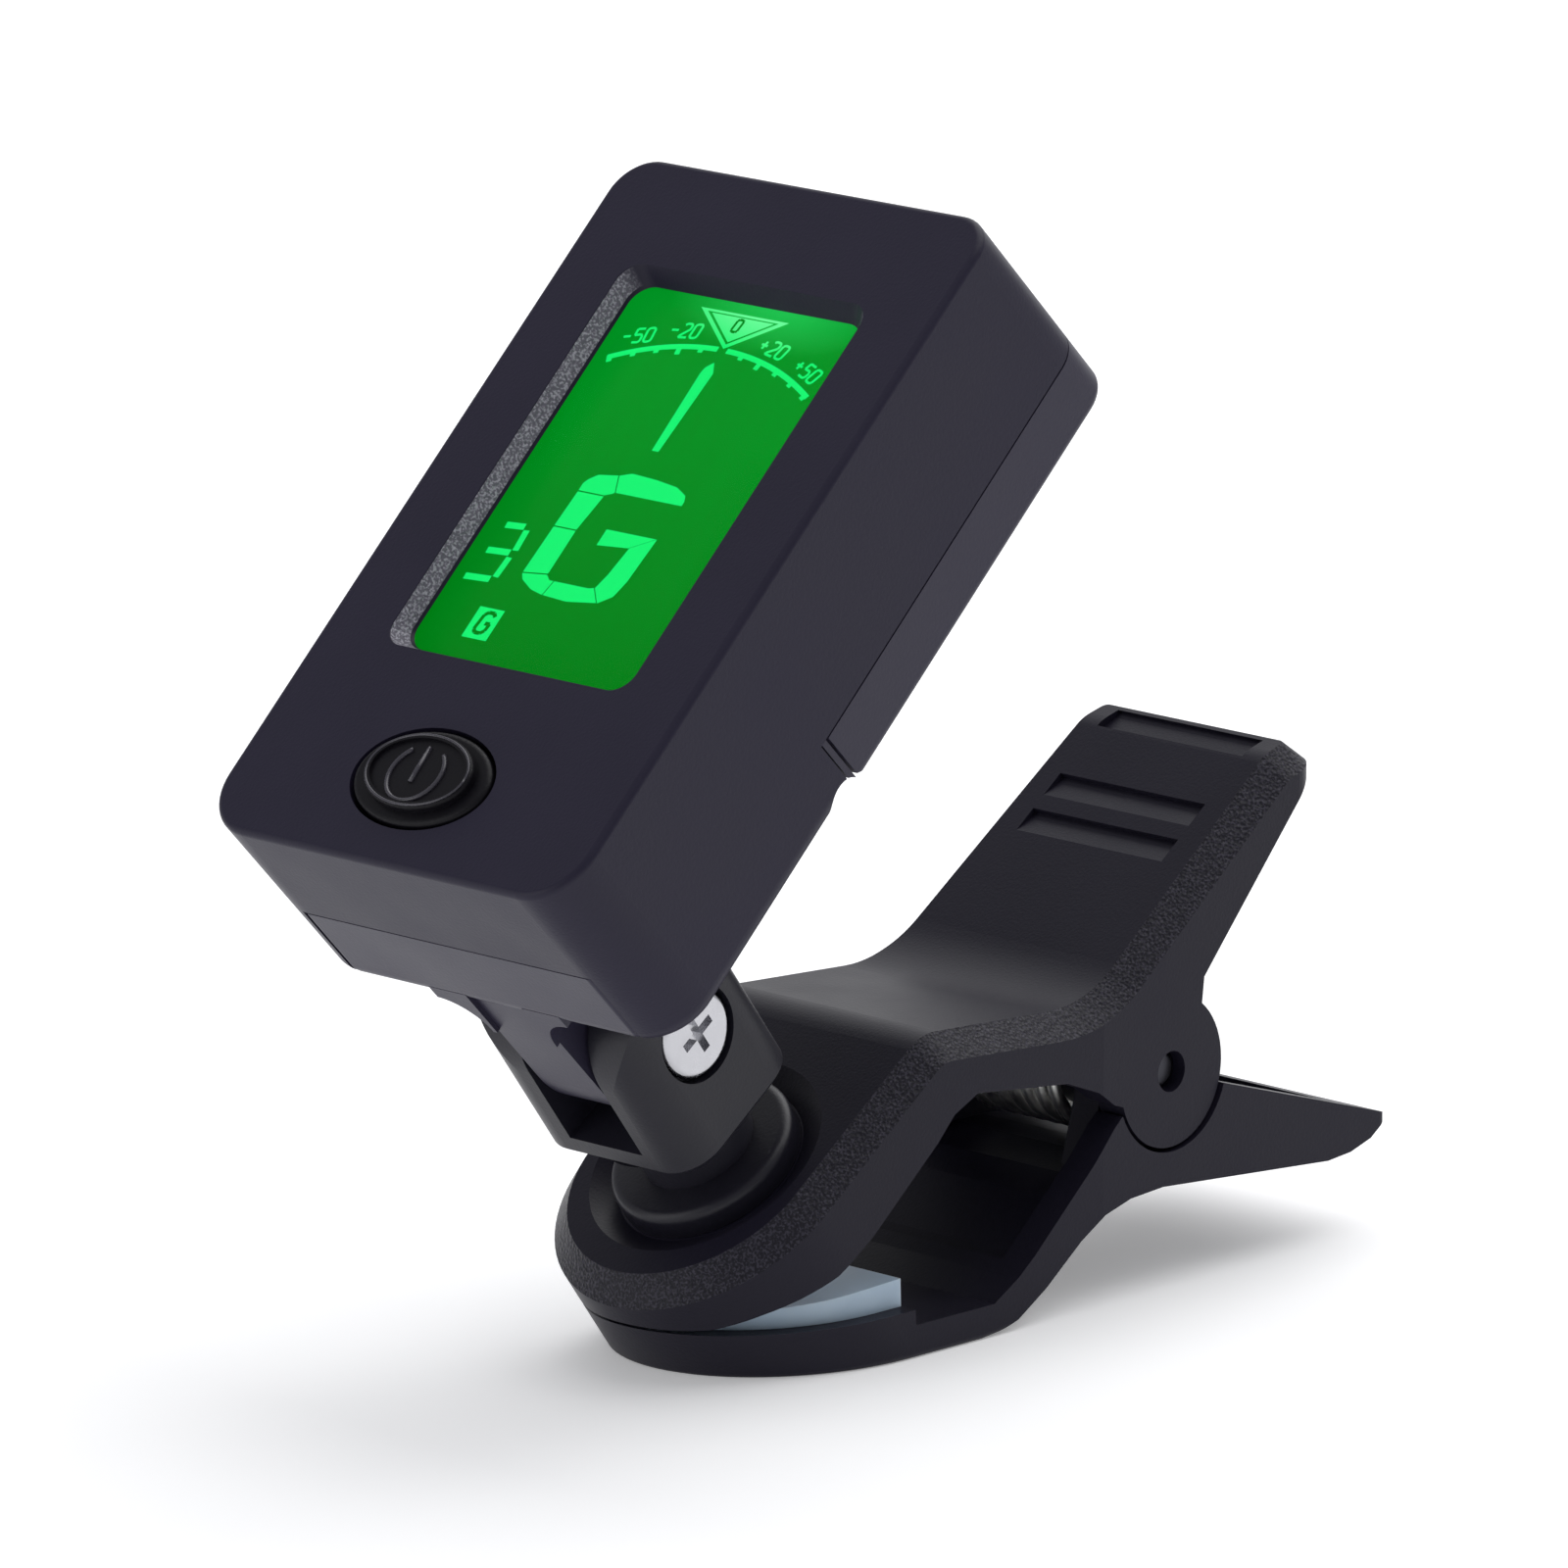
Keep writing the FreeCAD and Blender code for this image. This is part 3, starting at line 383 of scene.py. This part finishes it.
NODE_MATERIAL = {
    "front_shell": "front", "rear_shell": "head", "battery_door": "head", "window_lens": "lens",
    "display_glass": "display", "backlight_panel": "guide", "backlight_led": "led", "zebra_strip": "strip",
    "circuit_board": "board", "controller_chip": "black", "crystal": "screw", "capacitors": "tan",
    "tact_switch": "black", "switch_plunger": "black", "power_button": "button", "coin_cell": "nickel",
    "contact_negative": "nickel", "contact_positive": "nickel", "piezo_disc": "brass", "piezo_leads": "screw",
    "case_screws": "screw", "fork_stem": "stem", "pivot_screw": "screw", "pivot_nut": "screw",
    "friction_washers": "nylon", "swivel_screw": "screw", "swivel_washer": "screw", "upper_jaw": "rim",
    "lower_jaw": "lever", "upper_pad": "pad", "lower_pad": "pad", "clip_pin": "pin",
    "torsion_spring": "spring",
}
for node_name, material_name in NODE_MATERIAL.items():
    slots = NODES[node_name].data.materials
    if len(slots) == 0:
        slots.append(MATERIALS[material_name])
    for index in range(len(slots)):
        slots[index] = MATERIALS[material_name]


# ---------------------------------------------------------------- mesh helpers
def mesh_object(name, bm, material, body=None, smooth=False):
    """Turns a bmesh into a piece with its material and slot, riding on a body unless none is named."""
    bmesh.ops.recalc_face_normals(bm, faces=bm.faces)
    mesh = bpy.data.meshes.new(name)
    bm.to_mesh(mesh)
    bm.free()
    for p in mesh.polygons:
        p.use_smooth = smooth
    obj = bpy.data.objects.new(name, mesh)
    bpy.context.scene.collection.objects.link(obj)
    mesh.materials.append(MATERIALS[material])
    if body:
        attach(obj, body)
    return obj


def slab(bm, outline, low, high):
    """Closes a flat outline of (u, up) points into a thin solid between two heights out of the face."""
    bottom = [bm.verts.new(on_face(u, up, low)) for u, up in outline]
    top = [bm.verts.new(on_face(u, up, high)) for u, up in outline]
    bm.faces.new(bottom[::-1])
    bm.faces.new(top)
    for k in range(len(outline)):
        m = (k + 1) % len(outline)
        bm.faces.new((bottom[k], bottom[m], top[m], top[k]))


def stroke(points, width):
    """Outline of a line of even width through the points, with square ends."""
    left, right = [], []
    for k, p in enumerate(points):
        a = Vector(points[max(k - 1, 0)])
        b = Vector(points[min(k + 1, len(points) - 1)])
        d = (b - a).normalized()
        side = Vector((-d.y, d.x)) * width / 2
        left.append((p[0] + side.x, p[1] + side.y))
        right.append((p[0] - side.x, p[1] - side.y))
    return left + right[::-1]


def arc_points(u, up, radius, start, end, count):
    """Points along an arc round (u, up), with its angles in degrees."""
    angles = [math.radians(start + (end - start) * k / count) for k in range(count + 1)]
    return [(u + radius * math.cos(a), up + radius * math.sin(a)) for a in angles]


# ---------------------------------------------------------------- display marks, just above the display glass
MARK_LOW = -2.195
MARK_HIGH = -2.165
OVERPRINT_LOW = MARK_HIGH + 0.003
OVERPRINT_HIGH = MARK_HIGH + 0.01
SCALE_CENTRE = (-1.1, 20.3)
SCALE_RADIUS = 17.0
# the thin figures, as lines through points in a box one unit high
GLYPHS = {
    "0": [[(0.0, 0.12), (0.0, 0.88), (0.12, 1.0), (0.43, 1.0), (0.55, 0.88),
           (0.55, 0.12), (0.43, 0.0), (0.12, 0.0), (0.0, 0.12)]],
    "2": [[(0.0, 0.9), (0.12, 1.0), (0.43, 1.0), (0.55, 0.88),
           (0.55, 0.6), (0.0, 0.1), (0.0, 0.0), (0.58, 0.0)]],
    "5": [[(0.55, 1.0), (0.02, 1.0), (0.0, 0.55), (0.42, 0.58),
           (0.55, 0.45), (0.55, 0.12), (0.43, 0.0), (0.0, 0.02)]],
    "+": [[(0.0, 0.5), (0.5, 0.5)], [(0.25, 0.22), (0.25, 0.78)]],
    "-": [[(0.0, 0.5), (0.5, 0.5)]],
    "G": [[(0.6, 0.85), (0.45, 1.0), (0.15, 1.0), (0.0, 0.85), (0.0, 0.15),
           (0.15, 0.0), (0.45, 0.0), (0.6, 0.15), (0.6, 0.48), (0.34, 0.48)]],
}
GLYPH_ADVANCE = 0.8
GLYPH_GAP = 0.25
GLYPH_LEAN = 0.12


def write_text(bm, text, u, up, height, width, turn, low, high):
    """Thin figures centred on a point, turned to follow the scale."""
    total = GLYPH_ADVANCE * len(text) - GLYPH_GAP
    c, s = math.cos(math.radians(turn)), math.sin(math.radians(turn))
    for k, letter in enumerate(text):
        for line in GLYPHS[letter]:
            points = []
            for x, y in line:
                gx = (x + k * GLYPH_ADVANCE - total / 2 + GLYPH_LEAN * (y - 0.5)) * height
                gy = (y - 0.5) * height
                points.append((u + gx * c - gy * s, up + gx * s + gy * c))
            for a, b in zip(points, points[1:]):
                slab(bm, stroke([a, b], width), low, high)


TICK_STEP = 5.35
SCALE_TOP = 89.8
SCALE_HALF_WIDTH = 0.17
FIGURE_HEIGHT = 0.95
FIGURE_WIDTH = 0.15


def display_scale():
    """The cents scale: an arc in two halves, its ticks, and four figures that follow it."""
    bm = bmesh.new()
    for start, end in ((117.0, 91.2), (88.8, 62.2)):
        inner = arc_points(*SCALE_CENTRE, SCALE_RADIUS - SCALE_HALF_WIDTH, start, end, 16)
        outer = arc_points(*SCALE_CENTRE, SCALE_RADIUS + SCALE_HALF_WIDTH, start, end, 16)
        slab(bm, outer + inner[::-1], MARK_LOW, MARK_HIGH)
    for k in range(-5, 6):
        if k == 0:
            continue
        a = math.radians(SCALE_TOP - TICK_STEP * k)
        length = 0.55 if k in (-2, 2) else 0.36
        d = Vector((math.cos(a), math.sin(a)))
        base = Vector(SCALE_CENTRE) + d * (SCALE_RADIUS + 0.1)
        tip = Vector(SCALE_CENTRE) + d * (SCALE_RADIUS - length)
        line = stroke([tuple(base), tuple(tip)], 2 * SCALE_HALF_WIDTH)
        slab(bm, line, MARK_LOW + 0.001, MARK_HIGH + 0.001)
    for text, u, up, turn in (("-50", -7.6, 37.2, 14), ("-20", -4.5, 38.1, 6),
                              ("+20", 2.4, 38.0, -10), ("+50", 5.7, 37.0, -20)):
        write_text(bm, text, u, up, FIGURE_HEIGHT, FIGURE_WIDTH, turn, MARK_LOW, MARK_HIGH)
    return mesh_object("display_scale", bm, "segment", "head")


TRIANGLE_RING = 0.82
TRIANGLE_FILL = 0.70


def display_triangle():
    """Lit triangle above the needle: a thin outer ring round a filled one."""
    bm = bmesh.new()
    outer = [(-4.5, 39.8), (2.3, 39.8), (-1.1, 37.4)]
    middle = Vector((sum(p[0] for p in outer) / 3, sum(p[1] for p in outer) / 3))
    ring = [tuple(middle + (Vector(p) - middle) * TRIANGLE_RING) for p in outer]
    fill = [tuple(middle + (Vector(p) - middle) * TRIANGLE_FILL) for p in outer]
    for k in range(3):
        m = (k + 1) % 3
        slab(bm, [outer[k], outer[m], ring[m], ring[k]], MARK_LOW, MARK_HIGH)
    slab(bm, fill, MARK_LOW, MARK_HIGH)
    return mesh_object("display_triangle", bm, "segment", "head")


def display_zero():
    """Dark figure over the filled triangle."""
    bm = bmesh.new()
    write_text(bm, "0", -1.1, 39.0, 0.85, 0.17, 0, OVERPRINT_LOW, OVERPRINT_HIGH)
    return mesh_object("display_zero", bm, "dark_segment", "head")


def display_needle():
    """The pointer, upright at the middle of the scale."""
    bm = bmesh.new()
    slab(bm, [(-1.1, 36.4), (-1.5, 36.0), (-1.6, 35.6), (-1.5, 30.1), (-1.0, 30.1), (-0.7, 35.7)],
         MARK_LOW, MARK_HIGH)
    return mesh_object("display_needle", bm, "segment", "head")


def display_note():
    """The large note letter, built from the bent segments of the display."""
    bm = bmesh.new()
    top = [(-2.6, 28.1), (-1.8, 28.4), (0.2, 28.3), (1.9, 28.1),
           (2.8, 27.7), (3.0, 27.3), (3.0, 27.0), (-2.1, 27.0)]
    corner = [(-2.7, 28.1), (-4.1, 27.9), (-4.6, 27.5), (-4.8, 27.2),
              (-4.8, 26.7), (-2.8, 26.7), (-2.3, 26.9), (-2.2, 27.0)]
    upper = [(-4.8, 26.6), (-2.8, 26.6), (-3.2, 24.2), (-4.9, 24.2)]
    lower = [(-4.9, 24.1), (-3.2, 24.1), (-3.2, 21.1), (-5.0, 20.9)]
    foot = [(-5.0, 20.8), (-3.2, 21.0), (-2.8, 20.7), (-2.5, 20.7),
            (-2.7, 19.7), (-3.7, 19.9), (-4.7, 20.4)]
    bottom = [(-2.4, 20.7), (0.3, 20.7), (0.6, 20.8), (1.4, 19.9), (-0.7, 19.6), (-2.6, 19.7)]
    right = [(0.7, 20.8), (1.5, 19.9), (2.3, 20.5), (2.6, 21.6), (2.8, 24.6), (1.3, 23.7), (1.0, 21.8)]
    bar = [(-1.1, 23.5), (1.2, 23.7), (2.7, 24.6), (-1.1, 24.6)]
    for outline in (top, corner, upper, lower, foot, bottom, right, bar):
        slab(bm, outline, MARK_LOW, MARK_HIGH)
    return mesh_object("display_note", bm, "segment", "head")


def display_string_number():
    """The string's number, drawn with five segments."""
    bm = bmesh.new()
    segments = [[(-8.3, 23.6), (-6.9, 23.7)], [(-6.6, 23.5), (-6.5, 22.1)], [(-8.5, 21.8), (-6.8, 21.9)],
                [(-6.6, 21.6), (-6.7, 20.2)], [(-8.9, 19.9), (-7.0, 20.0)]]
    for segment in segments:
        slab(bm, stroke(segment, 0.42), MARK_LOW, MARK_HIGH)
    return mesh_object("display_string_number", bm, "segment", "head")


def display_badge():
    """Small lit square that carries a dark note letter."""
    bm = bmesh.new()
    slab(bm, [(-6.4, 16.1), (-4.5, 16.1), (-4.5, 18.2), (-6.4, 18.2)], MARK_LOW, MARK_HIGH)
    return mesh_object("display_badge", bm, "segment", "head")


def display_badge_letter():
    """Dark letter over the lit square."""
    bm = bmesh.new()
    write_text(bm, "G", -5.4, 17.2, 1.4, 0.25, 0, OVERPRINT_LOW, OVERPRINT_HIGH)
    return mesh_object("display_badge_letter", bm, "dark_segment", "head")


# ---------------------------------------------------------------- raised lines on the button, in a lighter material as painted highlight
BUTTON_CENTRE = (-0.45, 5.85)
BUTTON_FLOOR = 0.55
MARK_RISE = 0.14
CREST_OUT = 0.75
CREST_SEMI = (3.68, 2.32)


def ridge(bm, points, width, low, high):
    """Raised line with sloping sides and rounded ends, through points on the face."""
    rings = []
    count = len(points)
    for k, p in enumerate(points):
        a = Vector(points[max(k - 1, 0)])
        b = Vector(points[min(k + 1, count - 1)])
        d = (b - a).normalized()
        side = Vector((-d.y, d.x))
        ring = []
        for across, out in ((-0.5, low), (-0.28, high), (0.0, high + 0.03), (0.28, high), (0.5, low)):
            q = Vector(p) + side * width * across
            ring.append(bm.verts.new(on_face(q.x, q.y, out)))
        rings.append(ring)
    for r0, r1 in zip(rings, rings[1:]):
        for i in range(4):
            bm.faces.new((r0[i], r0[i + 1], r1[i + 1], r1[i]))
        bm.faces.new((r0[4], r0[0], r1[0], r1[4]))
    bm.faces.new(rings[0])
    bm.faces.new(rings[-1][::-1])


def power_mark():
    """Power symbol in the dish of the button: an open ring and a bar, lighter than the button as a painted
    highlight.
    """
    bm = bmesh.new()
    u, up = BUTTON_CENTRE
    low = BUTTON_FLOOR - 0.05
    high = BUTTON_FLOOR + MARK_RISE
    ridge(bm, [(u - 0.1, up - 0.75), (u - 0.15, up), (u - 0.2, up + 1.6)], 0.38, low, high)
    ridge(bm, arc_points(u - 0.1, up - 0.15, 1.85, 130, 410, 40), 0.34, low, high)
    return mesh_object("power_mark", bm, "button_painted_highlight", "button", smooth=True)


def button_crest_highlight():
    """Thin bead of lighter material along the crest of the button's raised ring: a painted highlight line."""
    bm = bmesh.new()
    u, up = BUTTON_CENTRE
    turns = [2 * math.pi * k / 72 for k in range(73)]
    crest = [(u + CREST_SEMI[0] * math.cos(t), up + CREST_SEMI[1] * math.sin(t)) for t in turns]
    ridge(bm, crest, 0.2, CREST_OUT - 0.03, CREST_OUT + 0.02)
    return mesh_object("button_crest_highlight", bm, "button_painted_highlight", "button", smooth=True)


# ---------------------------------------------------------------- torsion spring round the clip pin
COIL_R = 4.0
WIRE_R = 0.42
COIL_PITCH = 1.15
FULL_TURNS = 6.0
UPPER_LEG = 131.8
LOWER_LEG = -96.8
LEG_LENGTH = 10.5
WIRE_SIDES = 12
STEPS_PER_TURN = 36


def spring_points():
    """Centre line of the wire and half the length of its coil, as in the CAD."""
    turns = FULL_TURNS + (360.0 + LOWER_LEG - UPPER_LEG) / 360.0
    half = turns * COIL_PITCH / 2

    def on_coil(angle, y):
        a = math.radians(angle)
        return PIN + Vector((COIL_R * math.cos(a), y, COIL_R * math.sin(a))) * MM

    def leg(angle, y, sense):
        a = math.radians(angle)
        along = Vector((-sense * math.sin(a), 0, sense * math.cos(a)))
        return [on_coil(angle, y) + along * LEG_LENGTH * MM * k / 8 for k in range(1, 9)]

    steps = int(turns * STEPS_PER_TURN)
    coil = []
    for k in range(steps + 1):
        coil.append(on_coil(UPPER_LEG + 360 * turns * k / steps, half - 2 * half * k / steps))
    return leg(UPPER_LEG, half, -1.0)[::-1] + coil + leg(LOWER_LEG, -half, 1.0), half


def torsion_spring():
    """Round wire swept along the spring, in place of the CAD spring, which is hidden."""
    points, half = spring_points()
    bm = bmesh.new()
    across = Vector((0, 1, 0))
    rings = []
    for k, p in enumerate(points):
        d = (points[min(k + 1, len(points) - 1)] - points[max(k - 1, 0)]).normalized()
        side = (across - d * across.dot(d)).normalized()
        up = d.cross(side)
        rings.append([bm.verts.new(p + (side * math.cos(t) + up * math.sin(t)) * WIRE_R * MM)
                      for t in [2 * math.pi * i / WIRE_SIDES for i in range(WIRE_SIDES)]])
    for r0, r1 in zip(rings, rings[1:]):
        for i in range(WIRE_SIDES):
            m = (i + 1) % WIRE_SIDES
            bm.faces.new((r0[i], r0[m], r1[m], r1[i]))
    bm.faces.new(rings[0][::-1])
    bm.faces.new(rings[-1])
    obj = mesh_object("torsion_spring_wire", bm, "spring", smooth=True)
    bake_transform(obj)
    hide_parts("torsion_spring")
    return obj


display_scale()
display_triangle()
display_zero()
display_needle()
display_note()
display_string_number()
display_badge()
display_badge_letter()
power_mark()
button_crest_highlight()
torsion_spring()


# ---------------------------------------------------------------- floor, light and camera
AZIMUTH = math.radians(-45.77)
ELEVATION = math.radians(13.07)
LENS = 337.5
DISTANCE = 0.8465
AIM_RIGHT = -15.64
AIM_UP = 15.0

BACK = Vector((math.sin(AZIMUTH) * math.cos(ELEVATION), -math.cos(AZIMUTH) * math.cos(ELEVATION),
               math.sin(ELEVATION)))
RIGHT = (-BACK).cross(Vector((0, 0, 1))).normalized()
UP = RIGHT.cross(-BACK).normalized()


def add_floor():
    """Plain pale floor, with a little light of its own that keeps the shadows soft."""
    bm = bmesh.new()
    bmesh.ops.create_grid(bm, x_segments=8, y_segments=8, size=3.0)
    mesh = bpy.data.meshes.new("floor")
    bm.to_mesh(mesh)
    bm.free()
    floor = bpy.data.objects.new("floor", mesh)
    bpy.context.scene.collection.objects.link(floor)
    s = Shader("floor_paper", 0.7, specular=0.2)
    s.bsdf.inputs["Emission Color"].default_value = (1, 1, 1, 1)
    s.bsdf.inputs["Emission Strength"].default_value = 0.22
    s.colour(s.mix(s.noise(12, 2), (0.93, 0.93, 0.935, 1), (0.96, 0.96, 0.965, 1)))
    mesh.materials.append(s.mat)


def add_light(name, right, up, back, size, energy):
    """Square soft light aimed at the part, placed in metres from it as the camera sees it."""
    target = Vector((0.0, 0, 0.03))
    data = bpy.data.lights.new(name, "AREA")
    data.shape = "SQUARE"
    data.size = size
    data.energy = energy
    obj = bpy.data.objects.new(name, data)
    obj.location = target + RIGHT * right + UP * up + BACK * back
    obj.rotation_euler = (target - obj.location).to_track_quat("-Z", "Y").to_euler()
    bpy.context.scene.collection.objects.link(obj)


def add_camera():
    """Long lens from the front left, aimed a little beside the clip pin."""
    data = bpy.data.cameras.new("camera")
    data.lens = LENS
    data.sensor_width = 36.0
    data.clip_start = 0.05
    data.clip_end = 20.0
    camera = bpy.data.objects.new("camera", data)
    place = PIN + RIGHT * AIM_RIGHT * MM + UP * AIM_UP * MM + BACK * DISTANCE
    camera.matrix_world = Matrix.Translation(place) @ Matrix((RIGHT, UP, BACK)).transposed().to_4x4()
    bpy.context.scene.collection.objects.link(camera)
    bpy.context.scene.camera = camera


def add_world():
    world = bpy.data.worlds.new("studio")
    world.use_nodes = True
    background = world.node_tree.nodes["Background"]
    background.inputs[0].default_value = (0.95, 0.96, 1.0, 1)
    background.inputs[1].default_value = 0.42
    bpy.context.scene.world = world


add_floor()
add_light("key", right=0.3, up=0.8, back=-0.1, size=1.1, energy=6.5)
add_light("left", right=-0.75, up=0.1, back=0.35, size=0.6, energy=1.5)
add_light("back", right=0.1, up=0.5, back=-0.6, size=0.9, energy=1.4)
add_camera()
add_world()
bpy.context.scene.view_settings.view_transform = "Standard"

bpy.context.view_layer.update()
